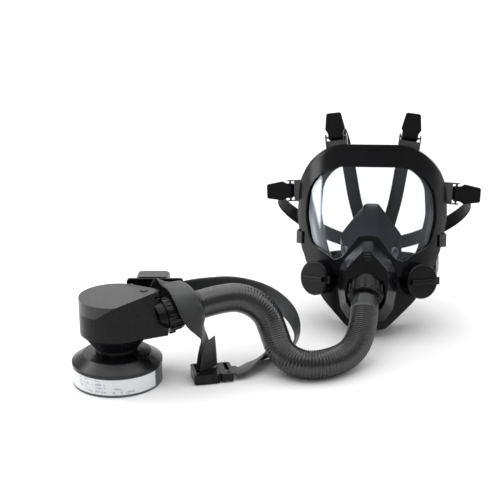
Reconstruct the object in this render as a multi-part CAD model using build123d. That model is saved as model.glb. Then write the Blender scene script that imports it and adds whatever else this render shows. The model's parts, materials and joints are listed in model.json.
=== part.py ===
from build123d import *
import os
from math import cos, pi, radians, sin, sqrt, tan

# Powered full face respirator: a full face mask, its breathing hose, a belt blower that stands on
# its screw-on filter, and the waist belt. Millimetres, Z up, front of the mask towards -Y.
# The origin is on the floor, in the middle of everything except the hose and the belt webbing.

# ---- where the three groups stand ----
BLOWER_X = -212.0
BLOWER_Y = -98.0
OUTLET_TURN = 25.0
MASK_X = 120.0
MASK_Y = 92.0
MASK_Z = -1.1
MASK_YAW = -10.0
MASK_LEAN = 12.0
MASK_ROLL = -1.5
RUNNING_GAP = 0.08

# ---- mask ----
LENS_R = 118.0
LENS_FRONT_Y = -62.0
LENS_T = 2.5
FRAME_T = 3.2
AXIS_Y = LENS_FRONT_Y + LENS_R
RUBBER_T = 3.5
SEAL_BACK_Y = 34.0
SEAL_DEPTH = 50.0
SEAL_LIP = 30.0
FRAME_SPLIT_Z = 120.0
PORT_Z = 68.0
PORT_TURN = 33.0
PORT_R = 17.0
SEAT_TOP = 124.0
CAP_R = 23.5
CAP_FOOT = 121.8
CAP_TOP = 136.0
CAP_VENTS = 8

# ---- central inlet ----
INLET_Y = -80.0
INLET_Z = 66.0
INLET_DROP = 45.0
INLET_R = 19.0
INLET_BORE_R = 15.5
INLET_END = 18.0
NUT_R = 23.0
NUT_RIBS = 16
MASK_CUFF_R = 17.0
DIAPHRAGM_R = 8.0
DIAPHRAGM_Y = -74.0
DIAPHRAGM_Z = 103.0
CUFF_END = 44.0

# ---- hose ----
HOSE_R = 18.2
HOSE_BORE_R = 14.5
HOSE_LEAD = 34.0

# ---- filter and blower ----
FILTER_R = 55.0
FILTER_H = 27.0
NECK_R = 26.0
HOUSING_R = 44.0
WALL = 2.5
CASE_FLOOR = 65.0
CASE_TOP = 110.0
DUCT_Y = -22.0
DUCT_W = 42.0
DUCT_END = 52.0
DUCT_TOP = 104.0
DUCT_FLOOR = 63.0
OUTLET_Z = 82.5
OUTLET_R = 17.0
COLLAR_R = 20.5
OUTLET_RISE = 8.0
OUTLET_CUFF_START = 22.0
OUTLET_CUFF_END = 50.0

NECK_FOOT = 40.4
NECK_TOP = 46.0
THREAD_R = 20.0
LID_FOOT = 24.0
LID_TOP = 39.6
COVER_TIP_X = 50.0
COVER_TIP_Y = -3.0
SKIRT_RUN = 22.0
SKIRT_H = 16.0
DECK_Z = 86.0
SHAFT_R = 2.0
SCREW_R = 1.5
IMPELLER_R = 33.0
BLADES = 14
BUTTON_X = 38.0
BUTTON_Y = 3.0
BUTTON_R = 5.0
COLLAR_RIBS = 20
LABEL_GAP_TURN = -14.0
LABEL_GAP_W = 70.0
SLOT_X = 72.0
SLOT_Z0 = 75.0
SLOT_Z1 = 107.0
CUP_VALVE_R = 8.0
STRAP_W = 19.0
STRAP_T = 1.6
PAD_Y = 88.0

# ---- hose route, between its two cuffs ----
HOSE_ROUTE = [
    (-53, -53, 90), (-28, -55, 73), (-18, -64, 48),
    (-9, -81, 26), (14, -98, 18.6), (46, -97, 18.6), (80, -70, 21),
]

# ---- belt: points of the webbing, each with the direction across it ----
BELT_LONG = [
    ((-140, -51, 91), (0, 0, 1)), ((-140, -41, 91), (0, 0, 1)), ((-132, -33, 91), (0, 0, 1)),
    ((-106, -26, 92), (0, 0.2, 1)), ((-70, -22, 92), (0, 0.3, 1)), ((-34, -25, 84), (0.2, 0.5, 1)),
    ((-1, -30, 66), (0.4, 0.9, 0.3)), ((12, -41, 42), (0.3, 1, 0)), ((6, -47, 22), (0.2, 0.9, -0.4)),
    ((-19, -41, 14), (0, 0.5, -0.75)), ((-42, -67, 11), (-0.1, 0.85, -0.3)), ((-57, -86.5, 8), (-0.15, 1, -0.1)),
    ((-68, -90, 7), (-0.21, 0.98, 0)),
]
BELT_SHORT = [
    ((-158, -51.5, 90), (1, 0, 0)), ((-158, -51.5, 103), (1, 0, 0)), ((-152, -57, 112), (1, -0.2, 0)),
    ((-142, -68, 113.5), (1, 0.2, 0)), ((-133, -85, 112.5), (1, 0.3, 0)), ((-127, -99, 108.5), (1, 0.3, 0)),
    ((-121, -107, 98), (0.9, 0.3, -0.2)), ((-115, -108, 86), (0.85, 0.5, 0)), ((-109, -104, 74), (0.5, 0.85, 0)),
    ((-106, -100, 62), (0.1, 1, 0)), ((-105, -97, 46), (0.35, 0.9, 0)), ((-104, -96, 30), (0.6, 0.8, 0)),
    ((-104, -95, 14.6), (0.7, 0.7, 0)),
]
BELT_TAIL = [
    ((-97.5, -100, 53), (0.4, 0.9, 0)), ((-98.5, -99.5, 34), (0.55, 0.8, 0)), ((-99.5, -98.5, 14.6), (0.7, 0.7, 0)),
]
BUCKLE_PLACE = Pos(-96, -96, 7) * Rot(Z=12)

# ---- belt sizes ----
BELT_W = 30.0
BELT_T = 1.8
PLATE_Y = 50.0
PLATE_T = 4.0

MASK_PLACE = Pos(MASK_X, MASK_Y, MASK_Z) * Rot(Z=MASK_YAW) * Rot(X=-MASK_LEAN) * Rot(Y=MASK_ROLL)
BLOWER_PLACE = Pos(BLOWER_X, BLOWER_Y, 0) * Rot(Z=OUTLET_TURN)
BACK_PLACE = Pos(BLOWER_X, BLOWER_Y, 0)
LAYOUT = Pos(-0.75, -28.4, 0)
SIDES = {"left": -1, "right": 1}

parts = {}


def save(name, shape):
    parts[name] = shape


def between(half_outline, radii):
    """Closed face in the front view, mirrored left to right, with rounded corners."""
    left = [(-x, z) for x, z in reversed(half_outline)]
    points = half_outline + left
    line = FilletPolyline(*points, radius=radii + radii[::-1], close=True)
    return make_face(line)


def prism(face, front_y, back_y):
    """A front-view face drawn out from front_y to back_y."""
    return extrude(Plane.XZ.offset(-back_y) * face, amount=back_y - front_y)


def column(radius):
    """Upright cylinder that shares the axis of the lens."""
    return Pos(0, AXIS_Y, 125) * Cylinder(radius, 420)


def shell(outer, inner):
    return column(outer) - column(inner)


def tube(outer, inner, start, end):
    """Tube along +Z between two heights."""
    middle = (start + end) / 2
    height = end - start
    body = Pos(0, 0, middle) * Cylinder(outer, height)
    if inner <= 0:
        return body
    return body - Pos(0, 0, middle) * Cylinder(inner, height + 2)


def block(x0, x1, y0, y1, z0, z1):
    centre = Pos((x0 + x1) / 2, (y0 + y1) / 2, (z0 + z1) / 2)
    return centre * Box(x1 - x0, y1 - y0, z1 - z0)


# ======================================================================= mask
FACE_HALF = [(24, 0), (64, 40), (92, 92), (104, 150), (100, 212), (58, 250)]
FACE_RADII = [22, 60, 90, 90, 70, 66]
LENS_HALF = [(9, 119), (33, 88), (47, 82), (60, 92), (88, 106), (97, 150), (93, 205), (52, 228)]
LENS_RADII = [8, 16, 7, 14, 20, 60, 48, 60]
BAND_HALF = [(12, 128), (34, 99), (46, 93), (57, 101), (82, 114), (90, 150), (86, 200), (48, 220)]
RIM_HALF = [(6, 109), (31, 78), (47, 71), (63, 82), (94, 98), (103, 150), (99, 211), (56, 242)]


def face_outline():
    return between(FACE_HALF, FACE_RADII)


def port_place(side):
    """Frame whose +Z runs out of a side port, with its origin on the lens axis."""
    return Pos(0, AXIS_Y, PORT_Z) * Rot(Z=side * PORT_TURN) * Rot(X=90)


def inlet_place():
    """Frame whose +Z runs out of the hose inlet, forwards and down."""
    return Pos(0, INLET_Y, INLET_Z) * Rot(X=90 + INLET_DROP)


BUCKLES = {
    "top_left": ((-50, -4, 252), (-0.12, 0, 1), (0, -1, 0)),
    "top_right": ((50, -4, 252), (0.12, 0, 1), (0, -1, 0)),
    "side_left": ((-107, 8, 184), (-1, 0, -0.05), (0, -1, 0)),
    "side_right": ((107, 8, 184), (1, 0, -0.05), (0, -1, 0)),
    "lower_left": ((-82, 32, 76), (-0.1, 1, 0.1), (-1, -0.1, 0)),
    "lower_right": ((82, 32, 76), (0.1, 1, 0.1), (1, -0.1, 0)),
}
BUCKLE_W = 30.0
BUCKLE_PIN_R = 1.6
PIN_OUT = 8.0
PIN_UP = 4.5


def buckle_place(name):
    """Frame of a strap buckle: X across the strap, Y outwards along it, Z to the front."""
    at, out, front = BUCKLES[name]
    out = Vector(*out).normalized()
    across = out.cross(Vector(*front)).normalized()
    return Plane(origin=at, x_dir=across, z_dir=across.cross(out)).location


def buckle_frame():
    """Base plate, two cheeks and the hinge pin of one strap buckle."""
    half = BUCKLE_W / 2
    frame = block(-half, half, -9, 3, -1.5, 1.5)
    for side in (-1, 1):
        cheek = block(half - 1.8, half, -9, PIN_OUT + 4, -1.5, PIN_UP + 3)
        frame += cheek if side > 0 else mirror(cheek, Plane.YZ)
    pin = Pos(0, PIN_OUT, PIN_UP) * Rot(Y=90) * Cylinder(BUCKLE_PIN_R, BUCKLE_W - 1)
    return frame + pin


def buckle_tab():
    """Quick-release lever: a thick tapered tongue bored for the hinge pin."""
    half = BUCKLE_W / 2 - 2.2
    outline = [(half - 2.5, 3), (half - 2.5, 13), (half + 0.8, 19), (half - 3, 41)]
    left = [(-x, y) for x, y in reversed(outline)]
    plan = make_face(FilletPolyline(*(outline + left), radius=[2, 3, 3, 3, 3, 3, 3, 2], close=True))
    tongue = extrude(Pos(0, 0, PIN_UP - 3.6) * plan, amount=7.2)
    bore = Pos(0, PIN_OUT, PIN_UP) * Rot(Y=90) * Cylinder(BUCKLE_PIN_R + RUNNING_GAP, BUCKLE_W + 4)
    heel = Pos(0, PIN_OUT, PIN_UP) * Rot(Y=90) * Cylinder(3.6, 2 * half - 5)
    body = tongue - block(-BUCKLE_W, BUCKLE_W, 0, PIN_OUT, -10, 20)
    return body + heel - bore


def buckle_lug():
    """Rubber tongue of the face seal that carries a buckle frame."""
    half = BUCKLE_W / 2
    return block(-half, half, -20, -8.5, -2.6, 2.6)


def make_face_seal(frames):
    outer = face_outline()
    far_front = LENS_FRONT_Y - 30
    wall = prism(outer, far_front, SEAL_BACK_Y) - prism(offset(outer, amount=-RUBBER_T), far_front - 1,
                                                        SEAL_BACK_Y + 1)
    back_r = LENS_R - LENS_T - SEAL_DEPTH

    def ahead_of_face(gap):
        slab = block(-150, 150, far_front, SEAL_BACK_Y - gap, -20, 280)
        return slab - column(back_r + gap)

    room = column(LENS_R - LENS_T) & ahead_of_face(0)
    wall = wall & room
    lip = prism(outer, far_front, SEAL_BACK_Y) - prism(offset(outer, amount=-SEAL_LIP), far_front - 1,
                                                       SEAL_BACK_Y + 1)
    lip = lip & (ahead_of_face(0) - ahead_of_face(RUBBER_T))
    front = prism(outer, far_front, SEAL_BACK_Y) - prism(between(BAND_HALF, LENS_RADII), far_front - 1,
                                                         SEAL_BACK_Y + 1)
    front = front & shell(LENS_R - LENS_T, LENS_R - LENS_T - RUBBER_T)
    seal = wall + lip + front
    for name in BUCKLES:
        seal += buckle_place(name) * buckle_lug()
    for side in SIDES.values():
        seal -= port_place(side) * (tube(PORT_R, 0, 60, 140) + tube(PORT_R + 1.6, 0, 102.9, 107.1))
    seal -= inlet_place() * tube(INLET_R, 0, -70, 30)
    for frame in frames:
        seal -= frame
    return seal


def make_lens():
    body = prism(between(LENS_HALF, LENS_RADII), -90, 60)
    return body & shell(LENS_R, LENS_R - LENS_T) & block(-150, 150, -90, 20, 0, 280)


def make_lens_frames():
    band = prism(between(RIM_HALF, LENS_RADII), -95, 60) - prism(between(BAND_HALF, LENS_RADII), -96, 61)
    band = band & shell(LENS_R + FRAME_T, LENS_R) & block(-150, 150, -95, 20, 0, 280)
    ears = Part()
    for side in (-1, 1):
        ear = Pos(side * 99, 0, FRAME_SPLIT_Z) * Box(9, 150, 17)
        ears += ear & shell(LENS_R + FRAME_T + 2.5, LENS_R) & block(-150, 150, -95, 12, 0, 280)
    band += ears
    for side in SIDES.values():
        band -= port_place(side) * tube(PORT_R + 3.2, 0, 60, 160)
    bridge = block(-45, 45, -120, 60, 0, FRAME_SPLIT_Z + 20)
    upper = (band & block(-150, 150, -120, 60, FRAME_SPLIT_Z + 0.2, 280)) - bridge
    lower = band & (block(-150, 150, -120, 60, 0, FRAME_SPLIT_Z - 0.2) + bridge)
    return upper, lower


def make_frame_screws():
    """Two screws that pull the frame halves together at the ears."""
    screws = []
    for side in (-1, 1):
        at = Pos(side * 99.5, AXIS_Y - sqrt((LENS_R + 3.6) ** 2 - 99.5 ** 2), 0)
        shank = at * tube(1.5, 0, FRAME_SPLIT_Z - 8, FRAME_SPLIT_Z + 8)
        head = at * tube(2.6, 0, FRAME_SPLIT_Z + 8.5, FRAME_SPLIT_Z + 11)
        screws.append(shank + at * tube(1.5, 0, FRAME_SPLIT_Z + 7, FRAME_SPLIT_Z + 9) + head)
    return screws


def make_exhale_seat(side):
    """Valve seat ring that clamps the rubber wall, with a spoked seat for the valve disc."""
    ring = tube(PORT_R, PORT_R - 3, 104, SEAT_TOP)
    flange = tube(PORT_R + 1.5, PORT_R - 3, 103, 107)
    rim = tube(PORT_R - 2.9, PORT_R - 6, SEAT_TOP - 1.6, SEAT_TOP)
    hub = tube(2.5, 0, SEAT_TOP - 1.6, SEAT_TOP)
    spokes = Part()
    for turn in (0, 60, 120):
        spokes += Pos(0, 0, SEAT_TOP - 0.8) * Rot(Z=turn) * Box(2 * PORT_R - 6, 1.6, 1.6)
    return port_place(side) * (ring + flange + rim + hub + spokes)


def make_exhale_disc(side):
    """Thin rubber valve disc that lifts off its seat when the wearer breathes out."""
    return port_place(side) * tube(PORT_R - 4.5, 0, SEAT_TOP + 0.1, SEAT_TOP + 1.1)


def make_exhale_cap(side):
    """Turn-to-lock cover over the valve, vented all round."""
    top = tube(CAP_R, 0, CAP_TOP - 7, CAP_TOP)
    top = fillet(top.edges().group_by(Axis.Z)[-1], 2.4)
    skirt = tube(CAP_R, CAP_R - 2.2, CAP_FOOT, CAP_TOP - 6.9)
    collar = tube(PORT_R + 2.4, PORT_R + RUNNING_GAP, CAP_FOOT, CAP_TOP - 6.9)
    for index in range(CAP_VENTS):
        turn = Rot(Z=index * 360 / CAP_VENTS)
        vent = turn * block(PORT_R - 2, CAP_R + 1, -3, 3, CAP_FOOT + 3.2, CAP_TOP - 8.5)
        skirt -= vent
        collar -= vent
    stop = tube(2.5, 0, SEAT_TOP + 3, CAP_TOP - 6)
    bar = block(-CAP_R + 5, CAP_R - 5, -3.2, 3.2, CAP_TOP - 1, CAP_TOP + 4)
    bar = fillet(bar.edges().group_by(Axis.Z)[-1], 1.4)
    ear = block(CAP_R - 3, CAP_R + 3.6, -5, 5, CAP_TOP - 8, CAP_TOP - 2)
    return port_place(side) * (top + skirt + collar + stop + bar + ear)


def front_housing_solids():
    """Outer form of the centre housing and the room inside it."""
    foot = between([(7, 122), (30, 97), (39, 80), (40, 60), (35, 30), (24, 14)], [6, 16, 12, 14, 10, 6])
    nose = between([(5, 110), (19, 95), (28, 84), (29, 62), (26, 42), (18, 34)], [4, 10, 8, 8, 8, 6])
    root = Plane.XZ.offset(-(LENS_FRONT_Y - 6))
    outer = extrude(Plane.XZ.offset(-(LENS_FRONT_Y + 22)) * foot, amount=28)
    outer += loft([root * foot, Plane.XZ.offset(-(LENS_FRONT_Y - 30)) * nose])
    outer -= column(LENS_R + FRAME_T + 0.3)
    inner_foot = offset(foot, amount=-3)
    inner_nose = offset(nose, amount=-3)
    inner = extrude(Plane.XZ.offset(-(LENS_FRONT_Y + 23)) * inner_foot, amount=29.1)
    inner += loft([root * inner_foot, Plane.XZ.offset(-(LENS_FRONT_Y - 27)) * inner_nose])
    return outer, inner


def make_front_housing():
    """Black centre housing: holds the speech diaphragm and shrouds the hose inlet."""
    outer, inner = front_housing_solids()
    housing = outer - inner
    housing += (inlet_place() * tube(NUT_R + 5, 0, 1, 60)) & outer
    bulkhead = block(-40, 40, DIAPHRAGM_Y - 1, DIAPHRAGM_Y + 1, DIAPHRAGM_Z - 10, 130)
    housing += (bulkhead & outer) - diaphragm_place() * tube(DIAPHRAGM_R, 0, -9, 9)
    housing -= inlet_place() * tube(NUT_R + 3, 0, 4, 80)
    housing -= inlet_place() * tube(INLET_R, 0, -70, 30)
    for index in range(3):
        slot_z = DIAPHRAGM_Z - 5 + 4 * index
        housing -= block(-6, 6, LENS_FRONT_Y - 40, LENS_FRONT_Y - 26, slot_z, slot_z + 1.6)
    return housing


def diaphragm_place():
    return Pos(0, DIAPHRAGM_Y, DIAPHRAGM_Z) * Rot(X=90)


def make_diaphragm():
    """Speech diaphragm: a ring with a thin disc."""
    return diaphragm_place() * (tube(DIAPHRAGM_R, DIAPHRAGM_R - 2, -1.5, 1.5) + tube(DIAPHRAGM_R - 1.9, 0, -0.3, 0.3))


def make_hose_inlet():
    """Inlet tube of the mask with a spoked seat for the inlet valve."""
    body = tube(INLET_R, INLET_BORE_R, -20, INLET_END)
    seat = tube(INLET_BORE_R + 0.1, INLET_BORE_R - 3, 0, 1.6) + tube(2.5, 0, 0, 1.6)
    for turn in (0, 60, 120):
        seat += Pos(0, 0, 0.8) * Rot(Z=turn) * Box(2 * INLET_BORE_R, 1.6, 1.6)
    return inlet_place() * (body + seat)


def make_inlet_disc():
    return inlet_place() * tube(INLET_BORE_R - 1.5, 0, -1.1, -0.1)


def make_hose_nut():
    """Hand-turned ring that clamps the hose cuff to the inlet."""
    ring = tube(NUT_R, INLET_R + RUNNING_GAP, 6, INLET_END + 0.3)
    ring += tube(NUT_R, MASK_CUFF_R + RUNNING_GAP, INLET_END + 0.2, INLET_END + 7)
    ring = chamfer(ring.edges().filter_by(GeomType.CIRCLE).group_by(Axis.Z)[-1].sort_by(SortBy.RADIUS)[-1:], 1.5)
    for index in range(NUT_RIBS):
        ring += Rot(Z=index * 360 / NUT_RIBS) * Pos(NUT_R - 0.3, 0, 14.5) * Cylinder(1.5, 13)
    return inlet_place() * ring


def make_mask_cuff():
    """Smooth rubber end of the hose at the mask."""
    sleeve = tube(MASK_CUFF_R, HOSE_BORE_R, INLET_END + 0.1, CUFF_END - 6)
    return inlet_place() * (sleeve + tube(HOSE_R, HOSE_BORE_R, CUFF_END - 9, CUFF_END))


# ---- nose cup ----
def make_nose_cup():
    """Inner half mask: a soft cup that narrows towards the inlet."""
    rim = between([(9, 168), (43, 124), (42, 84), (26, 60)], [8, 22, 22, 20])
    mouth = between([(12, 112), (24, 100), (24, 86), (14, 78)], [9, 11, 11, 11])
    inner_rim = offset(rim, amount=-2)
    inner_mouth = offset(mouth, amount=-2)
    back = Plane.XZ.offset(-2)
    front = Plane.XZ.offset(50)
    outer = loft([back * rim, front * mouth])
    inner = loft([Plane.XZ.offset(-3) * inner_rim, Plane.XZ.offset(51) * inner_mouth])
    return outer - inner


def make_cup_valve(side):
    """Small check valve in the wall of the nose cup: a ring and its flap."""
    place = Pos(side * 31, -24, 102) * Rot(Z=side * 60) * Rot(X=90)
    return place * (tube(CUP_VALVE_R, CUP_VALVE_R - 2, -4, 5) + tube(CUP_VALVE_R - 1.9, 0, 0, 0.8))


# ---- head harness ----
def ribbon(stations, width, thickness):
    """Flat strap through stations of (point, direction across), with both faces folded alike."""
    points = [Vector(*point) for point, across in stations]
    rings = []
    for index, (point, across) in enumerate(stations):
        before = points[max(index - 1, 0)]
        after = points[min(index + 1, len(points) - 1)]
        plane = Plane(origin=points[index], x_dir=Vector(*across), z_dir=after - before)
        corners = [(-width, -thickness), (width, -thickness), (width, thickness), (-width, thickness)]
        rings.append([plane.from_local_coords((x / 2, y / 2, 0)) for x, y in corners])
    outlines = [rings[0][::-1], rings[-1]]
    for here, there in zip(rings, rings[1:]):
        for edge in (0, 1):
            outlines.append([here[edge], here[edge + 1], there[edge + 1]])
            outlines.append([here[edge], there[edge + 1], there[edge]])
        for edge, after in ((2, 3), (3, 0)):
            outlines.append([here[edge], here[after], there[edge]])
            outlines.append([here[after], there[after], there[edge]])
    faces = [Face(Wire.make_polygon(outline, close=True)) for outline in outlines]
    return Solid(Shell(faces))


def strap_start(name):
    """First two points of a head strap, close behind its buckle frame."""
    place = buckle_place(name)
    return [tuple((place * Pos(0, y, -1.5 - STRAP_T)).position) for y in (2.6, 9)]


def make_top_strap(side):
    first, second = strap_start("top_right" if side > 0 else "top_left")
    route = [first, second]
    route += [(side * 51, 8, 271), (side * 49, 24, 270), (side * 45, 44, 254), (side * 38, 62, 218)]
    route += [(side * 30, 74, 172), (side * 22, 83, 140), (side * 17, PAD_Y, 119.8)]
    return ribbon([(point, (1, 0, 0)) for point in route], STRAP_W, STRAP_T)


def make_side_strap(side):
    first, second = strap_start("side_right" if side > 0 else "side_left")
    route = [first, second]
    route += [(side * 132, 18, 179), (side * 134, 36, 168), (side * 120, 58, 150), (side * 92, 74, 130)]
    route += [(side * 60, 84, 114), (side * 30, PAD_Y, 105)]
    return ribbon([(point, (0, 0.1, 1)) for point in route], STRAP_W, STRAP_T)


def make_lower_strap(side):
    first, second = strap_start("lower_right" if side > 0 else "lower_left")
    route = [first, second]
    route += [(side * 84, 58, 78), (side * 74, 74, 80), (side * 52, 84, 83), (side * 30, PAD_Y, 84)]
    return ribbon([(point, (0, 0.1, 1)) for point in route], STRAP_W, STRAP_T)


def make_harness_pad():
    plan = between([(20, 72), (28.5, 80), (28.5, 110), (22, 118.5)], [6, 6, 6, 6])
    return prism(plan, PAD_Y - 1.6, PAD_Y + 1.6)


def build_mask():
    frames = {}
    for row in ("top", "side", "lower"):
        frames[row] = [buckle_place(row + "_" + word) * buckle_frame() for word in SIDES]
    upper, lower = make_lens_frames()
    screws = make_frame_screws()
    for screw in screws:
        upper -= screw
        lower -= screw
    cup = make_nose_cup()
    save("lens", make_lens())
    save("lens_frame_upper", upper)
    save("lens_frame_lower", lower)
    save("frame_screws", Compound(children=screws))
    save("face_seal", make_face_seal(frames["top"] + frames["side"] + frames["lower"]))
    save("front_housing", make_front_housing())
    save("speech_diaphragm", make_diaphragm())
    save("hose_inlet", make_hose_inlet())
    save("inlet_valve_disc", make_inlet_disc())
    save("hose_nut", make_hose_nut())
    save("hose_cuff_mask", make_mask_cuff())
    save("harness_pad", make_harness_pad())
    for row, pair in frames.items():
        save("buckle_frames_" + row, Compound(children=pair))
    for name in BUCKLES:
        save("buckle_tab_" + name, buckle_place(name) * buckle_tab())
    for word, side in SIDES.items():
        save("exhale_seat_" + word, make_exhale_seat(side))
        save("exhale_disc_" + word, make_exhale_disc(side))
        save("exhale_cap_" + word, make_exhale_cap(side))
        save("strap_top_" + word, make_top_strap(side))
        save("strap_side_" + word, make_side_strap(side))
        save("strap_lower_" + word, make_lower_strap(side))
        valve = make_cup_valve(side)
        cup -= Pos(side * 31, -24, 102) * Rot(Z=side * 60) * Rot(X=90) * tube(CUP_VALVE_R, 0, -6, 8)
        save("cup_valve_" + word, valve)
    save("nose_cup", cup)
    for name in list(parts):
        parts[name] = MASK_PLACE * parts[name]


# ======================================================================= blower
CHORD_START = (-14.0, -42.0)
CHORD_DIR = (0.892, 0.452)
CHORD_BACK = (-0.452, 0.892)


def lying(face, z0, z1):
    """A plan-view face drawn up from z0 to z1."""
    return extrude(Pos(0, 0, z0) * face, amount=z1 - z0)


def chord_wedge(profile, shift=0.0):
    """Bar along the edge line of the top cover, from a profile of (backwards, up) points."""
    start = (CHORD_START[0] + shift * CHORD_BACK[0], CHORD_START[1] + shift * CHORD_BACK[1], CASE_TOP)
    plane = Plane(origin=start, x_dir=(*CHORD_BACK, 0), z_dir=(*CHORD_DIR, 0))
    face = make_face(Polyline(*profile, close=True))
    return extrude(plane * face, amount=160, both=True)


def teardrop(grow):
    """Plan of the top cover: the round of the fan drawn out to a tip over the outlet."""
    ring = CenterArc((0, 0), HOUSING_R + grow, 0, 360)
    tip = Pos(COVER_TIP_X, COVER_TIP_Y) * CenterArc((0, 0), 6 + grow, 0, 360)
    return make_face(make_hull([ring, tip]).edges())


def case_solid(grow):
    """Outer form of the blower case, or with a negative growth the room inside it."""
    base = CASE_FLOOR - grow
    round_part = lying(Circle(HOUSING_R + grow), base, CASE_TOP + grow)
    duct = block(0, DUCT_END + grow, DUCT_Y - DUCT_W / 2 - grow, DUCT_Y + DUCT_W / 2 + grow,
                 DUCT_FLOOR - grow, DUCT_TOP + grow)
    duct = fillet(duct.edges().filter_by(Axis.X), 5 + grow)
    body = round_part + duct + lying(teardrop(grow), DUCT_TOP - 12, CASE_TOP + grow)
    shoulder = [(0, 0), (-40, -47), (-40, 12), (0, 12)]
    return body - chord_wedge(shoulder, -1.5 * grow)


def make_case():
    """Lower housing and top cover of the blower, parted along the stepped cover line."""
    outer = case_solid(0)
    outer += Pos(0, 0, (NECK_TOP + CASE_FLOOR) / 2) * Cone(NECK_R + 2, HOUSING_R - 1, CASE_FLOOR - NECK_TOP)
    outer += tube(NECK_R, 0, NECK_FOOT, NECK_TOP + 1)
    outer -= outlet_place() * tube(COLLAR_R + 2.5, 0, 1, 60)
    outer += outlet_place() * tube(OUTLET_R, 0, -8, OUTLET_CUFF_START)
    room = case_solid(-WALL) & block(-60, DUCT_END - WALL, -80, 80, 0, 150)
    room += Pos(0, 0, (NECK_TOP + CASE_FLOOR) / 2 + 3) * Cone(NECK_R - 4, HOUSING_R - 5, CASE_FLOOR - NECK_TOP)
    room += tube(THREAD_R + RUNNING_GAP, 0, NECK_FOOT - 1, NECK_TOP + 6)
    room += outlet_place() * tube(OUTLET_R - WALL, 0, -14, OUTLET_CUFF_START + 1)
    case = outer - room
    cover_zone = chord_wedge([(0, 0), (SKIRT_RUN, -SKIRT_H), (160, -SKIRT_H), (160, 12), (0, 12)])
    cover = case & cover_zone
    housing = case - cover_zone
    for place in motor_screw_places():
        housing += (place * tube(3.4, 0, CASE_FLOOR + 1, DECK_Z)) & case_solid(-WALL / 2)
        housing -= place * tube(SCREW_R, 0, CASE_FLOOR + 6, DECK_Z + 10)
    cover -= Pos(BUTTON_X, BUTTON_Y, 0) * tube(BUTTON_R + 0.3, 0, CASE_TOP - 8, CASE_TOP + 5)
    return housing, cover


def outlet_place():
    """Frame whose +Z runs out of the blower outlet."""
    return Pos(DUCT_END, DUCT_Y, OUTLET_Z) * Rot(Y=90 - OUTLET_RISE)


def motor_screw_places():
    return [Rot(Z=turn) * Pos(38.2, 0, 0) for turn in (100, 190, 235)]


def make_motor():
    """Motor with its mounting deck and shaft."""
    deck = tube(HOUSING_R - WALL - 0.2, 0, DECK_Z, DECK_Z + 2)
    motor = deck + tube(15, 0, DECK_Z + 1.9, DECK_Z + 17) + tube(SHAFT_R, 0, CASE_FLOOR + 3, DECK_Z + 0.1)
    for place in motor_screw_places():
        motor -= place * tube(SCREW_R, 0, DECK_Z - 1, DECK_Z + 3)
    return motor


def make_impeller():
    """Radial fan wheel on the motor shaft."""
    wheel = tube(IMPELLER_R, SHAFT_R + RUNNING_GAP, DECK_Z - 4, DECK_Z - 1.5)
    wheel += tube(6, SHAFT_R + RUNNING_GAP, CASE_FLOOR + 4, DECK_Z - 3.9)
    for index in range(BLADES):
        blade = Pos(25, 0, (CASE_FLOOR + 6 + DECK_Z - 3.9) / 2) * Rot(Z=35) * Box(15, 1.4, DECK_Z - CASE_FLOOR - 9.9)
        wheel += Rot(Z=index * 360 / BLADES) * blade
    wheel += tube(IMPELLER_R, 20, CASE_FLOOR + 4.5, CASE_FLOOR + 6.1)
    return wheel


def make_power_button():
    cap = tube(BUTTON_R, 0, CASE_TOP - 3, CASE_TOP + 1.2)
    cap = fillet(cap.edges().group_by(Axis.Z)[-1], 0.8)
    return Pos(BUTTON_X, BUTTON_Y, 0) * (cap + tube(BUTTON_R + 1.6, 0, CASE_TOP - 4.2, CASE_TOP - 2.9))


def make_outlet_collar():
    """Ribbed turn-to-lock collar that holds the hose on the outlet."""
    collar = tube(COLLAR_R, OUTLET_R + RUNNING_GAP, 3, OUTLET_CUFF_START - 0.2)
    for index in range(COLLAR_RIBS):
        collar += Rot(Z=index * 360 / COLLAR_RIBS) * Pos(COLLAR_R - 0.2, 0, 12) * Cylinder(1.3, 14)
    collar += block(COLLAR_R - 1, COLLAR_R + 4, -4, 4, 5, 13)
    return outlet_place() * collar


def make_blower_cuff():
    """Smooth rubber end of the hose at the blower, with a rolled rim."""
    sleeve = tube(HOSE_R, HOSE_BORE_R, OUTLET_CUFF_START, OUTLET_CUFF_END)
    rim = Pos(0, 0, OUTLET_CUFF_END - 4) * Torus(HOSE_R, 1.6)
    return outlet_place() * (sleeve + (rim - tube(HOSE_R - 0.5, 0, 0, 90)))


def make_filter():
    """Screw-on disc filter: canister, domed lid with thread spigot, media and label."""
    canister = tube(FILTER_R, FILTER_R - 1.6, 0, LID_FOOT) + tube(FILTER_R - 1.5, 0, 0, 2)
    for ring_r, count in ((18, 8), (30, 14), (42, 20)):
        for index in range(count):
            canister -= Rot(Z=index * 360 / count) * Pos(ring_r, 0, 1) * Cylinder(3.2, 6)
    outline = [(THREAD_R - 4, NECK_TOP + 2), (THREAD_R, NECK_TOP + 2), (THREAD_R, LID_TOP), (NECK_R + 2, LID_TOP),
               (42, LID_TOP - 2.5), (FILTER_R - 3, FILTER_H + 3.5), (FILTER_R + 0.8, FILTER_H + 1),
               (FILTER_R + 0.8, LID_FOOT + 0.1), (FILTER_R - 1.8, LID_FOOT + 0.1), (FILTER_R - 4, FILTER_H + 1.4),
               (41, LID_TOP - 4.6), (THREAD_R - 4, LID_TOP - 2)]
    lid = revolve(Plane.XZ * make_face(Polyline(*outline, close=True)), Axis.Z)
    media = tube(FILTER_R - 2.6, 0, 3, LID_FOOT - 2)
    label = tube(FILTER_R + 0.4, FILTER_R, 3, LID_FOOT - 1.2)
    label -= Rot(Z=LABEL_GAP_TURN) * block(0, 80, -LABEL_GAP_W / 2, LABEL_GAP_W / 2, 0, 60)
    return canister, lid, media, label


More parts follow.
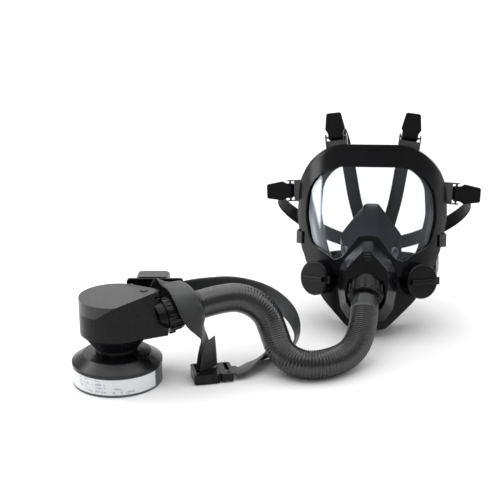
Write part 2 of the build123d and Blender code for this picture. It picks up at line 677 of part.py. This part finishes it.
def build_blower():
    housing, cover = make_case()
    boss = block(16, 54, 34, PLATE_Y, 70, 90) - tube(HOUSING_R - WALL / 2, 0, 0, 120)
    canister, lid, media, label = make_filter()
    screws = []
    for place in motor_screw_places():
        screws.append(place * (tube(SCREW_R, 0, CASE_FLOOR + 6, DECK_Z + 2.1) + tube(3, 0, DECK_Z + 2, DECK_Z + 4.4)))
    local = {
        "blower_cover": cover,
        "motor": make_motor(),
        "motor_screws": Compound(children=screws),
        "impeller": make_impeller(),
        "control_board": block(-18, 18, -6, 20, DECK_Z + 18, DECK_Z + 19.6),
        "power_button": make_power_button(),
        "outlet_collar": make_outlet_collar(),
        "hose_cuff_blower": make_blower_cuff(),
        "filter_canister": canister,
        "filter_lid": lid,
        "filter_media": media,
        "filter_label": label,
        "neck_gasket": tube(NECK_R - 1, THREAD_R + 1, LID_TOP + 0.15, NECK_FOOT),
    }
    for name, shape in local.items():
        save(name, BLOWER_PLACE * shape)
    save("blower_housing", BLOWER_PLACE * housing + BACK_PLACE * boss)
    plate = block(9, 80, PLATE_Y, PLATE_Y + PLATE_T, 68, 114)
    plate = fillet(plate.edges().filter_by(Axis.Y), 4)
    for slot_x in (SLOT_X, 14):
        plate -= block(slot_x - 2.5, slot_x + 2.5, PLATE_Y - 1, PLATE_Y + PLATE_T + 1, SLOT_Z0, SLOT_Z1)
    battery = block(20, 62, PLATE_Y + PLATE_T + 0.2, PLATE_Y + PLATE_T + 24, 60, 115)
    battery = fillet(battery.edges().filter_by(Axis.Y), 6)
    battery -= block(59.5, 63, 62, 72, 82, 98)
    save("belt_plate", BACK_PLACE * plate)
    save("battery_pack", BACK_PLACE * battery)
    save("battery_latch", BACK_PLACE * block(61.0, 63.4, 62.2, 71.8, 82.2, 97.8))


# ======================================================================= hose
def corner_radii(route):
    """Bend radius for each inner point of a route, from its two runs and its turn."""
    radii = []
    for before, here, after in zip(route, route[1:], route[2:]):
        run_in = Vector(*here) - Vector(*before)
        run_out = Vector(*after) - Vector(*here)
        half_turn = radians(run_in.get_angle(run_out) / 2)
        radii.append(0.45 * min(run_in.length, run_out.length) / tan(half_turn))
    return radii


def build_hose():
    blower_axis = BLOWER_PLACE * outlet_place()
    mask_axis = MASK_PLACE * inlet_place()
    start = [tuple((blower_axis * Pos(0, 0, OUTLET_CUFF_END + run)).position) for run in (0, HOSE_LEAD)]
    end = [tuple((mask_axis * Pos(0, 0, CUFF_END + run)).position) for run in (HOSE_LEAD, 0)]
    route = start + HOSE_ROUTE + end
    in_place = [tuple((LAYOUT * Pos(*point)).position) for point in route]
    print("hose route", [[round(value, 2) for value in point] for point in in_place])
    radii = corner_radii(route)
    print("hose radii", [round(radius, 1) for radius in radii])
    path = FilletPolyline(*route, radius=radii)
    start = Plane(origin=path @ 0, z_dir=path % 0)
    hose = sweep(start * (Circle(HOSE_R) - Circle(HOSE_BORE_R)), path)
    section = pi * (HOSE_R ** 2 - HOSE_BORE_R ** 2)
    print("hose length", round(path.length, 1), "volume ratio", round(hose.volume / (section * path.length), 4))
    save("hose_tube", hose)


# ======================================================================= belt
def build_belt():
    save("belt_long", ribbon(BELT_LONG, BELT_W, BELT_T))
    down = ribbon(BELT_SHORT, BELT_W, BELT_T)
    save("belt_short", Compound(children=[down, ribbon(BELT_TAIL, BELT_W, BELT_T)]))
    female = block(-24, 8, -19, 19, -6, 6)
    female = fillet(female.edges().filter_by(Axis.Z), 4)
    female -= block(-4, 9, -15, 15, -3.6, 3.6)
    female -= block(-20, -15.5, -16, 16, -7, 7)
    for side in (-1, 1):
        female -= block(-2, 6, side * 17 - 3, side * 17 + 3, -3.6, 3.6)
    male = block(9, 26, -18, 18, -5, 5)
    male = fillet(male.edges().filter_by(Axis.Z), 4)
    male -= block(17, 21.5, -15.8, 15.8, -6, 6)
    male += block(-3, 9.5, -2.5, 2.5, -3.2, 3.2)
    prongs = {}
    for word, side in (("front", -1), ("back", 1)):
        prong = block(-1, 8.8, side * 12.5 - 2, side * 12.5 + 2, -3.2, 3.2)
        prongs[word] = prong + block(-1, 5, min(side * 14, side * 18.5), max(side * 14, side * 18.5), -3.2, 3.2)
    save("buckle_female", BUCKLE_PLACE * female)
    save("buckle_male", BUCKLE_PLACE * male)
    for word, prong in prongs.items():
        save("buckle_prong_" + word, BUCKLE_PLACE * prong)


build_mask()
build_blower()
build_hose()
build_belt()
os.makedirs("parts", exist_ok=True)
for part_name, part_shape in parts.items():
    export_step(LAYOUT * part_shape, "parts/" + part_name + ".step")
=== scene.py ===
import json
from math import cos, pi, radians, sin, sqrt

import bpy
from mathutils import Matrix, Vector


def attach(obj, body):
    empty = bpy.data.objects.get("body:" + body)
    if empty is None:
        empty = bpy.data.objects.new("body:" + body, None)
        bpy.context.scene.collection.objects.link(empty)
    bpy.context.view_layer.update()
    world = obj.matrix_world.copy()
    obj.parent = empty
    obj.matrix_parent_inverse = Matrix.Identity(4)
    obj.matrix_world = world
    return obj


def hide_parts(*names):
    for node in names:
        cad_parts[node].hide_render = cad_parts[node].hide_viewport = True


# Powered full face respirator: mask, breathing hose, belt blower on its filter, waist belt.
# Metres, Z up, front towards -Y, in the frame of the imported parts.

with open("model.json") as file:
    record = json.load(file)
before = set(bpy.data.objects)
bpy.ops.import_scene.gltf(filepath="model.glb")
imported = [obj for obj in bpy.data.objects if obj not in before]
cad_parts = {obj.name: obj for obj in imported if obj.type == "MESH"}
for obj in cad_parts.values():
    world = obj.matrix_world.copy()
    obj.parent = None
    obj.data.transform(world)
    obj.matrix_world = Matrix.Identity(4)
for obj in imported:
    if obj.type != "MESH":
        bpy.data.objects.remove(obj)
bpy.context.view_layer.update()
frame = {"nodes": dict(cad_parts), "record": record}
NODES = frame["nodes"]
MM = 0.001

# ---- where the mask stands, as in the CAD ----
LAYOUT = Vector((-0.75, -28.4, 0.0)) * MM
MASK = (Matrix.Translation(Vector((120.0, 92.0, -1.1)) * MM + LAYOUT) @ Matrix.Rotation(radians(-10), 4, "Z")
        @ Matrix.Rotation(radians(-12), 4, "X") @ Matrix.Rotation(radians(-1.5), 4, "Y"))

HOSE_ROUTE = [
    (-0.11145, -0.10344, 0.08946), (-0.08094, -0.08921, 0.09419), (-0.05375, -0.0814, 0.090),
    (-0.02875, -0.0834, 0.073), (-0.01875, -0.0924, 0.048), (-0.00975, -0.1094, 0.026),
    (0.01325, -0.1264, 0.0186), (0.04525, -0.1254, 0.0186), (0.07925, -0.0984, 0.021),
    (0.09641, -0.06432, 0.03761), (0.10074, -0.03613, 0.05611),
]
HOSE_R = 0.0182
HOSE_BORE_R = 0.0145
HOSE_SIDES = 72
RING_PITCH = 0.0035
RING_DEPTH = 0.0011
ROWS_PER_RING = 10
RING_SHARPNESS = 0.6
SMOOTH_END = 0.006
CALM_DEPTH = 0.30
FULL_DEPTH = 1.45
CALM_SHARE = 0.38
CALM_FADE = 0.25

BELT_W = 0.030
BELT_T = 0.0018
STRAP_W = 0.019
STRAP_T = 0.0018
STRAP_RIB = 0.0004
STRAP_RIB_PITCH = 0.003
GRAIN_SIZE = 0.0008
GRAIN_DEPTH = 0.0003
WEAVE_DEPTH = 0.0006
WEBBING_RIB = 0.0011


# ======================================================================= materials
def material(name, color, roughness, metallic=0.0, coat=0.0, sheen=0.0, grain=0.0, variation=0.08,
             shine=0.5):
    """Procedural surface: a principled shader whose roughness varies softly, with optional fine grain."""
    mat = bpy.data.materials.new(name)
    mat.use_nodes = True
    nodes = mat.node_tree.nodes
    links = mat.node_tree.links
    shader = nodes["Principled BSDF"]
    shader.inputs["Base Color"].default_value = (*color, 1)
    shader.inputs["Metallic"].default_value = metallic
    shader.inputs["Coat Weight"].default_value = coat
    shader.inputs["Coat Roughness"].default_value = 0.12
    shader.inputs["Sheen Weight"].default_value = sheen
    shader.inputs["Sheen Roughness"].default_value = 0.4
    shader.inputs["Specular IOR Level"].default_value = shine
    place = nodes.new("ShaderNodeTexCoord")
    cloud = nodes.new("ShaderNodeTexNoise")
    cloud.inputs["Scale"].default_value = 60
    cloud.inputs["Detail"].default_value = 4
    links.new(place.outputs["Object"], cloud.inputs["Vector"])
    span = nodes.new("ShaderNodeMapRange")
    span.inputs["To Min"].default_value = max(0.02, roughness - variation)
    span.inputs["To Max"].default_value = min(1.0, roughness + variation)
    links.new(cloud.outputs["Fac"], span.inputs["Value"])
    links.new(span.outputs["Result"], shader.inputs["Roughness"])
    if grain:
        fine = nodes.new("ShaderNodeTexNoise")
        fine.inputs["Scale"].default_value = 1 / GRAIN_SIZE
        fine.inputs["Detail"].default_value = 2
        links.new(place.outputs["Object"], fine.inputs["Vector"])
        bump = nodes.new("ShaderNodeBump")
        bump.inputs["Strength"].default_value = grain
        bump.inputs["Distance"].default_value = GRAIN_DEPTH
        links.new(fine.outputs["Fac"], bump.inputs["Height"])
        links.new(bump.outputs["Normal"], shader.inputs["Normal"])
    return mat


def lens_material():
    """Clear coated visor: see-through head on, mirror-like at a glancing angle."""
    mat = bpy.data.materials.new("visor_clear")
    mat.use_nodes = True
    nodes = mat.node_tree.nodes
    links = mat.node_tree.links
    shader = nodes["Principled BSDF"]
    shader.inputs["Base Color"].default_value = (0.86, 0.90, 0.97, 1)
    shader.inputs["Metallic"].default_value = 1.0
    shader.inputs["Roughness"].default_value = 0.05
    clear = nodes.new("ShaderNodeBsdfTransparent")
    clear.inputs["Color"].default_value = (0.95, 0.965, 0.98, 1)
    facing = nodes.new("ShaderNodeLayerWeight")
    facing.inputs["Blend"].default_value = 0.35
    span = nodes.new("ShaderNodeMapRange")
    span.inputs["To Min"].default_value = 0.03
    span.inputs["To Max"].default_value = 0.60
    links.new(facing.outputs["Facing"], span.inputs["Value"])
    mix = nodes.new("ShaderNodeMixShader")
    links.new(span.outputs["Result"], mix.inputs["Fac"])
    links.new(clear.outputs["BSDF"], mix.inputs[1])
    links.new(shader.outputs["BSDF"], mix.inputs[2])
    links.new(mix.outputs["Shader"], nodes["Material Output"].inputs["Surface"])
    return mat


def woven_material(name, color, rib, sheen, roughness):
    """Woven webbing: fine crossing ribs that follow the UV map, which is in metres."""
    mat = material(name, color, roughness, sheen=sheen)
    nodes = mat.node_tree.nodes
    links = mat.node_tree.links
    shader = nodes["Principled BSDF"]
    place = nodes.new("ShaderNodeTexCoord")
    ribs = nodes.new("ShaderNodeTexWave")
    ribs.bands_direction = "Y"
    ribs.inputs["Scale"].default_value = 2 * pi / (rib * 20)
    ribs.inputs["Distortion"].default_value = 0.4
    links.new(place.outputs["UV"], ribs.inputs["Vector"])
    threads = nodes.new("ShaderNodeTexWave")
    threads.bands_direction = "X"
    threads.inputs["Scale"].default_value = 2 * pi / (rib * 30)
    links.new(place.outputs["UV"], threads.inputs["Vector"])
    both = nodes.new("ShaderNodeMath")
    both.operation = "MULTIPLY"
    links.new(ribs.outputs["Fac"], both.inputs[0])
    links.new(threads.outputs["Fac"], both.inputs[1])
    bump = nodes.new("ShaderNodeBump")
    bump.inputs["Strength"].default_value = 0.6
    bump.inputs["Distance"].default_value = WEAVE_DEPTH
    links.new(both.outputs["Value"], bump.inputs["Height"])
    links.new(bump.outputs["Normal"], shader.inputs["Normal"])
    return mat


def label_material():
    """White printed label: rows of faint generic grey marks on paper."""
    mat = material("label_print", (0.80, 0.82, 0.83), 0.45)
    nodes = mat.node_tree.nodes
    links = mat.node_tree.links
    place = nodes.new("ShaderNodeTexCoord")
    rows = nodes.new("ShaderNodeTexWave")
    rows.bands_direction = "Z"
    rows.inputs["Scale"].default_value = 70
    links.new(place.outputs["Object"], rows.inputs["Vector"])
    marks = nodes.new("ShaderNodeTexNoise")
    marks.inputs["Scale"].default_value = 260
    marks.inputs["Detail"].default_value = 1
    links.new(place.outputs["Object"], marks.inputs["Vector"])
    blocks = nodes.new("ShaderNodeTexNoise")
    blocks.inputs["Scale"].default_value = 36
    links.new(place.outputs["Object"], blocks.inputs["Vector"])
    last = rows.outputs["Fac"]
    for source, edge in ((marks.outputs["Fac"], 0.5), (blocks.outputs["Fac"], 0.52)):
        step = nodes.new("ShaderNodeMath")
        step.operation = "GREATER_THAN"
        step.inputs[1].default_value = edge
        links.new(source, step.inputs[0])
        product = nodes.new("ShaderNodeMath")
        product.operation = "MULTIPLY"
        links.new(last, product.inputs[0])
        links.new(step.outputs["Value"], product.inputs[1])
        last = product.outputs["Value"]
    ink = nodes.new("ShaderNodeMix")
    ink.data_type = "RGBA"
    ink.inputs["A"].default_value = (0.80, 0.82, 0.83, 1)
    ink.inputs["B"].default_value = (0.42, 0.46, 0.50, 1)
    links.new(last, ink.inputs["Factor"])
    links.new(ink.outputs["Result"], nodes["Principled BSDF"].inputs["Base Color"])
    return mat


MATERIALS = {
    "visor": lens_material(),
    "frame_plastic": material("frame_black", (0.004, 0.004, 0.005), 0.20, grain=0.05, shine=0.28),
    "steel": material("steel_dark", (0.17, 0.17, 0.18), 0.22, metallic=1.0),
    "seal_rubber": material("seal_black", (0.004, 0.004, 0.005), 0.24, grain=0.05, shine=0.28),
    "aluminium": material("aluminium_satin", (0.62, 0.62, 0.64), 0.32, metallic=1.0),
    "black_plastic": material("plastic_black", (0.004, 0.004, 0.005), 0.22, grain=0.08, shine=0.24),
    "valve_rubber": material("valve_grey", (0.35, 0.35, 0.36), 0.5),
    "cuff_rubber": material("cuff_grey", (0.012, 0.013, 0.014), 0.26, shine=0.45),
    "strap_rubber": material("strap_black", (0.005, 0.005, 0.006), 0.40, grain=0.06, shine=0.3),
    "tab_plastic": material("tab_black", (0.003, 0.003, 0.004), 0.34, grain=0.06, shine=0.22),
    "valve_plastic": material("cap_black", (0.003, 0.003, 0.004), 0.24, grain=0.08, shine=0.22),
    "cup_silicone": material("cup_grey", (0.040, 0.041, 0.050), 0.18, coat=1.0, shine=1.0),
    "cover_plastic": material("cover_grey", (0.014, 0.014, 0.015), 0.30, grain=0.10, shine=0.5),
    "case_plastic": material("case_black", (0.004, 0.004, 0.005), 0.28, grain=0.10, shine=0.18),
    "impeller_plastic": material("impeller_grey", (0.08, 0.08, 0.09), 0.4),
    "circuit_board": material("board_green", (0.02, 0.16, 0.07), 0.3, coat=0.4),
    "button_rubber": material("button_grey", (0.035, 0.035, 0.037), 0.5),
    "filter_grey": material("filter_grey", (0.08, 0.085, 0.092), 0.38, grain=0.1),
    "filter_black": material("filter_black", (0.004, 0.004, 0.005), 0.28, grain=0.10, shine=0.4),
    "filter_paper": material("filter_media", (0.82, 0.80, 0.74), 0.8, grain=0.4),
    "label_paper": label_material(),
    "hose_rubber": material("hose_black", (0.006, 0.006, 0.007), 0.28, shine=0.8),
    "webbing": woven_material("webbing_black", (0.009, 0.010, 0.011), WEBBING_RIB, 0.12, 0.36),
}


def dress_nodes():
    """Every CAD piece gets the surface of its material slot."""
    for part in frame["record"]["subparts"]:
        piece = NODES[part["node"]]
        piece.data.materials.clear()
        piece.data.materials.append(MATERIALS[part["material_slot"]])


# ======================================================================= shapes
def add_piece(name, verts, faces, slot, *replaced, body="respirator", uv=None, smooth=True):
    """A mesh piece that rides on a body and stands for CAD nodes."""
    mesh = bpy.data.meshes.new(name)
    mesh.from_pydata(verts, [], faces)
    if uv:
        layer = mesh.uv_layers.new(name="UVMap")
        for loop in mesh.loops:
            layer.data[loop.index].uv = uv[loop.vertex_index]
    mesh.update()
    if smooth:
        mesh.polygons.foreach_set("use_smooth", [True] * len(mesh.polygons))
    mesh.materials.append(MATERIALS[slot])
    piece = bpy.data.objects.new(name, mesh)
    bpy.context.scene.collection.objects.link(piece)
    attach(piece, body)
    if replaced:
        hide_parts(*replaced)
    return piece


def ring_faces(rings, around, closed=False):
    """Quads between consecutive rings of points; closed joins the last ring to the first."""
    faces = []
    for row in range(rings if closed else rings - 1):
        here = row * around
        there = (row + 1) % rings * around
        for index in range(around):
            after = (index + 1) % around
            faces.append((here + index, here + after, there + after, there + index))
    return faces


def nurbs_line(points, resolution=24):
    """Points along the NURBS spline that has these control points."""
    curve = bpy.data.curves.new("route", "CURVE")
    curve.dimensions = "3D"
    spline = curve.splines.new("NURBS")
    spline.points.add(len(points) - 1)
    for control, point in zip(spline.points, points):
        control.co = (*point, 1)
    spline.order_u = 3
    spline.use_endpoint_u = True
    spline.resolution_u = resolution
    holder = bpy.data.objects.new("route", curve)
    bpy.context.scene.collection.objects.link(holder)
    bpy.context.view_layer.update()
    mesh = bpy.data.meshes.new_from_object(holder.evaluated_get(bpy.context.evaluated_depsgraph_get()))
    line = [vertex.co.copy() for vertex in mesh.vertices]
    bpy.data.meshes.remove(mesh)
    bpy.data.objects.remove(holder)
    bpy.data.curves.remove(curve)
    return line


def evenly(line, step):
    """The same line with points a set distance apart."""
    runs = [(after - before).length for before, after in zip(line, line[1:])]
    total = sum(runs)
    count = max(2, round(total / step))
    result = [line[0].copy()]
    index = 0
    passed = 0.0
    for number in range(1, count):
        target = total * number / count
        while passed + runs[index] < target:
            passed += runs[index]
            index += 1
        share = (target - passed) / runs[index]
        result.append(line[index].lerp(line[index + 1], share))
    result.append(line[-1].copy())
    return result


def transport(line, first_up=Vector((0, 0, 1))):
    """Two directions across the line at each point, turned as little as possible between points."""
    pairs = []
    up = first_up
    for index in range(len(line)):
        along = (line[min(index + 1, len(line) - 1)] - line[max(index - 1, 0)]).normalized()
        up = (up - along * up.dot(along)).normalized()
        pairs.append((up, along.cross(up)))
    return pairs


def smooth_step(value):
    value = min(1.0, max(0.0, value))
    return value * value * (3 - 2 * value)


def make_hose():
    """Corrugated breathing hose: a thick walled tube along its route, calmer near the blower."""
    around = HOSE_SIDES
    line = evenly(nurbs_line(HOSE_ROUTE), RING_PITCH / ROWS_PER_RING)
    total = sum((after - before).length for before, after in zip(line, line[1:]))
    pairs = transport(line)
    verts = []
    rows = []
    for index, point in enumerate(line):
        gone = total * index / (len(line) - 1)
        end_fade = smooth_step(gone / SMOOTH_END) * smooth_step((total - gone) / SMOOTH_END)
        rise = smooth_step((gone / total - CALM_SHARE) / CALM_FADE)
        calm = CALM_DEPTH + (FULL_DEPTH - CALM_DEPTH) * rise
        depth = RING_DEPTH * end_fade * calm
        wave = 0.5 - 0.5 * cos(2 * pi * gone / RING_PITCH)
        rows.append((point, pairs[index], HOSE_R - depth * (1 - wave ** RING_SHARPNESS)))
    backwards = range(len(line) - 1, -1, -2 * ROWS_PER_RING)
    inner = [(line[index], pairs[index], HOSE_BORE_R) for index in backwards]
    if inner[-1][0] is not line[0]:
        inner.append((line[0], pairs[0], HOSE_BORE_R))
    for point, (up, side), radius in rows + inner:
        for step in range(around):
            turn = 2 * pi * step / around
            verts.append(point + (up * cos(turn) + side * sin(turn)) * radius)
    faces = ring_faces(len(rows) + len(inner), around, closed=True)
    hose = add_piece("breathing_hose", verts, faces, "hose_rubber", "hose_tube")
    return hose


def curve_through(values, index, share):
    """Catmull-Rom value between two stations of a list of vectors."""
    a = values[max(index - 1, 0)]
    b = values[index]
    c = values[index + 1]
    d = values[min(index + 2, len(values) - 1)]
    return 0.5 * (2 * b + (c - a) * share + (2 * a - 5 * b + 4 * c - d) * share ** 2
                  + (3 * b - a - 3 * c + d) * share ** 3)


def strap_rows(stations, per_span):
    """Centre, across, normal and distance for each row of a strap through its stations."""
    points = [Vector(point) for point, across in stations]
    acrosses = [Vector(across).normalized() for point, across in stations]
    centres = []
    sides = []
    for index in range(len(points) - 1):
        for step in range(per_span):
            centres.append(curve_through(points, index, step / per_span))
            sides.append(curve_through(acrosses, index, step / per_span))
    centres.append(points[-1])
    sides.append(acrosses[-1])
    rows = []
    gone = 0.0
    for index, centre in enumerate(centres):
        ahead = centres[min(index + 1, len(centres) - 1)]
        behind = centres[max(index - 1, 0)]
        along = (ahead - behind).normalized()
        across = (sides[index] - along * sides[index].dot(along)).normalized()
        if index:
            gone += (centre - centres[index - 1]).length
        rows.append((centre, across, along.cross(across), gone))
    return rows


def strap_mesh(stations, width, thickness, ridge=0.0, per_span=14, cells=14):
    """Flat strap with rounded edges; ridge raises cross ribs on its outer face."""
    rows = strap_rows(stations, per_span)
    verts = []
    uv = []
    for centre, across, normal, gone in rows:
        lift = ridge * max(0.0, sin(2 * pi * gone / STRAP_RIB_PITCH)) ** 0.5 if ridge else 0.0
        outline = []
        for step in range(cells + 1):
            share = step / cells * 2 - 1
            edge = sqrt(max(0.0, 1 - max(0.0, abs(share) - 0.90) ** 2 / 0.0101))
            outline.append((share * width / 2, (thickness / 2 + (lift if abs(share) < 0.85 else 0)) * edge))
        for offset, height in outline:
            verts.append(centre + across * offset + normal * height)
            uv.append((offset, gone))
        for offset, height in reversed(outline):
            verts.append(centre + across * offset - normal * min(height, thickness / 2))
            uv.append((offset, gone))
    around = 2 * (cells + 1)
    faces = ring_faces(len(rows), around)
    faces.append(tuple(range(around - 1, -1, -1)))
    last = (len(rows) - 1) * around
    faces.append(tuple(range(last, last + around)))
    return verts, faces, uv


def in_row(points, matrix=Matrix.Identity(4), shift=Vector((0, 0, 0))):
    """Stations given in millimetres, turned and moved into the row frame in metres."""
    turn = matrix.to_3x3()
    return [(matrix @ (Vector(point) * MM) + shift, turn @ Vector(across)) for point, across in points]


# ======================================================================= belt
BELT_LONG = [
    ((-140, -51, 91), (0, 0, 1)), ((-140, -41, 91), (0, 0, 1)), ((-132, -33, 91), (0, 0, 1)),
    ((-106, -26, 92), (0, 0.2, 1)), ((-70, -22, 92), (0, 0.3, 1)), ((-34, -25, 84), (0.2, 0.5, 1)),
    ((-1, -30, 66), (0.4, 0.9, 0.3)), ((12, -41, 42), (0.3, 1, 0)), ((6, -47, 22), (0.2, 0.9, -0.4)),
    ((-19, -41, 14), (0, 0.5, -0.75)), ((-42, -67, 11), (-0.1, 0.85, -0.3)),
    ((-57, -86.5, 8), (-0.15, 1, -0.1)),
    ((-68, -90, 7), (-0.21, 0.98, 0)),
]
BELT_SHORT = [
    ((-158, -51.5, 90), (1, 0, 0)), ((-158, -51.5, 103), (1, 0, 0)), ((-152, -57, 112), (1, -0.2, 0)),
    ((-142, -68, 113.5), (1, 0.2, 0)), ((-133, -85, 112.5), (1, 0.3, 0)), ((-127, -99, 108.5), (1, 0.3, 0)),
    ((-121, -107, 98), (0.9, 0.3, -0.2)), ((-115, -108, 86), (0.85, 0.5, 0)),
    ((-109, -104, 74), (0.5, 0.85, 0)),
    ((-106, -100, 62), (0.1, 1, 0)), ((-105, -97, 46), (0.35, 0.9, 0)), ((-104, -96, 30), (0.6, 0.8, 0)),
    ((-104, -95, 14.6), (0.7, 0.7, 0)),
]
BELT_TAIL = [
    ((-97.5, -100, 53), (0.4, 0.9, 0)), ((-98.5, -99.5, 34), (0.55, 0.8, 0)),
    ((-99.5, -98.5, 14.6), (0.7, 0.7, 0)),
]


def make_belt():
    long_run = strap_mesh(in_row(BELT_LONG, shift=LAYOUT), BELT_W, BELT_T)
    add_piece("belt_webbing_long", *long_run[:2], "webbing", "belt_long", uv=long_run[2])
    short_run = strap_mesh(in_row(BELT_SHORT, shift=LAYOUT), BELT_W, BELT_T)
    add_piece("belt_webbing_short", *short_run[:2], "webbing", "belt_short", uv=short_run[2])
    tail = strap_mesh(in_row(BELT_TAIL, shift=LAYOUT), BELT_W, BELT_T)
    add_piece("belt_webbing_tail", *tail[:2], "webbing", uv=tail[2])


# ======================================================================= head harness
STRAPS = {
    "top": [((50.0, -4, 253.5), (1, 0, 0)), ((50.9, -0.9, 261), (1, 0, 0)), ((51, 8, 271), (1, 0, 0)),
            ((49, 24, 270), (1, 0, 0)), ((45, 44, 254), (1, 0, 0)), ((38, 62, 218), (1, 0, 0)),
            ((30, 74, 172), (1, 0, 0)), ((22, 83, 140), (1, 0, 0)), ((17, 88, 119.8), (1, 0, 0))],
    "side": [((108.5, 11.1, 183.9), (0, 0.1, 1)), ((116, 11.1, 183.5), (0, 0.1, 1)),
             ((132, 18, 179), (0, 0.1, 1)), ((134, 36, 168), (0, 0.1, 1)), ((120, 58, 150), (0, 0.1, 1)),
             ((92, 74, 130), (0, 0.1, 1)), ((60, 84, 114), (0, 0.1, 1)), ((30, 88, 105), (0, 0.1, 1))],
    "lower": [((79.1, 35.2, 76.1), (0, 0.1, 1)), ((79.8, 41, 76.7), (0, 0.1, 1)),
              ((84, 58, 78), (0, 0.1, 1)),
              ((74, 74, 80), (0, 0.1, 1)), ((52, 84, 83), (0, 0.1, 1)), ((30, 88, 84), (0, 0.1, 1))],
}


def make_straps():
    for row, stations in STRAPS.items():
        for word, side in (("left", -1), ("right", 1)):
            placed = [((side * point[0], point[1], point[2]), across) for point, across in stations]
            verts, faces, uv = strap_mesh(in_row(placed, MASK), STRAP_W, STRAP_T, ridge=STRAP_RIB)
            add_piece(f"head_strap_{row}_{word}", verts, faces, "strap_rubber", f"strap_{row}_{word}", uv=uv)


# ======================================================================= floor, light, camera
def add_area(name, place, aim, size, power, color=(1, 1, 1)):
    lamp = bpy.data.lights.new(name, "AREA")
    lamp.shape = "RECTANGLE"
    lamp.size, lamp.size_y = size
    lamp.energy = power
    lamp.color = color
    holder = bpy.data.objects.new(name, lamp)
    holder.location = place
    holder.rotation_euler = (Vector(aim) - Vector(place)).to_track_quat("-Z", "Y").to_euler()
    bpy.context.scene.collection.objects.link(holder)


def make_stage():
    """Pale floor that curves up far behind the object, and soft studio light."""
    half = 3.0
    rise = 1.6
    rows = [(-half, 0.0)]
    for step in range(13):
        turn = pi / 2 * step / 12
        rows.append((half + rise * sin(turn), rise * (1 - cos(turn))))
    rows.append((half + rise, 5.0))
    verts = []
    faces = []
    for index, (y, z) in enumerate(rows):
        verts += [(-2 * half, y, z), (2 * half, y, z)]
        if index:
            low = 2 * index - 2
            faces.append((low, low + 1, low + 3, low + 2))
    mesh = bpy.data.meshes.new("floor")
    mesh.from_pydata(verts, [], faces)
    mesh.polygons.foreach_set("use_smooth", [True] * len(mesh.polygons))
    mesh.materials.append(material("floor_pale", (0.90, 0.90, 0.90), 0.9, variation=0.02))
    floor = bpy.data.objects.new("floor", mesh)
    floor.location.z = -0.0002
    bpy.context.scene.collection.objects.link(floor)
    world = bpy.data.worlds.new("studio")
    bpy.context.scene.world = world
    world.use_nodes = True
    sky = world.node_tree.nodes["Background"]
    sky.inputs["Color"].default_value = (1, 1, 1, 1)
    sky.inputs["Strength"].default_value = 0.30
    add_area("softbox_top", (0.0, 1.6, 3.2), (0, 1.6, 0.0), (6.0, 7.0), 230)
    add_area("softbox_left", (-1.25, 0.14, 0.60), (0.10, 0.03, 0.16), (0.44, 1.15), 7)
    add_area("softbox_right", (1.35, 0.10, 0.60), (0.12, 0.05, 0.16), (0.14, 0.9), 3)
    add_area("softbox_key", (-0.7, -1.5, 1.3), (0.0, 0.0, 0.1), (0.25, 0.8), 3)


def make_camera():
    camera = bpy.data.objects.new("camera", bpy.data.cameras.new("camera"))
    camera.data.lens = 79.2
    camera.data.sensor_width = 36
    camera.data.clip_end = 60
    camera.location = Vector((-0.048, -1.350, 0.575)) + LAYOUT
    camera.rotation_euler = (radians(72), 0, 0)
    bpy.context.scene.collection.objects.link(camera)
    bpy.context.scene.camera = camera


make_camera()
make_stage()
dress_nodes()
make_hose()
make_belt()
make_straps()

view = bpy.context.scene.view_settings
view.view_transform = "Standard"
view.look = "None"
view.exposure = 0.0
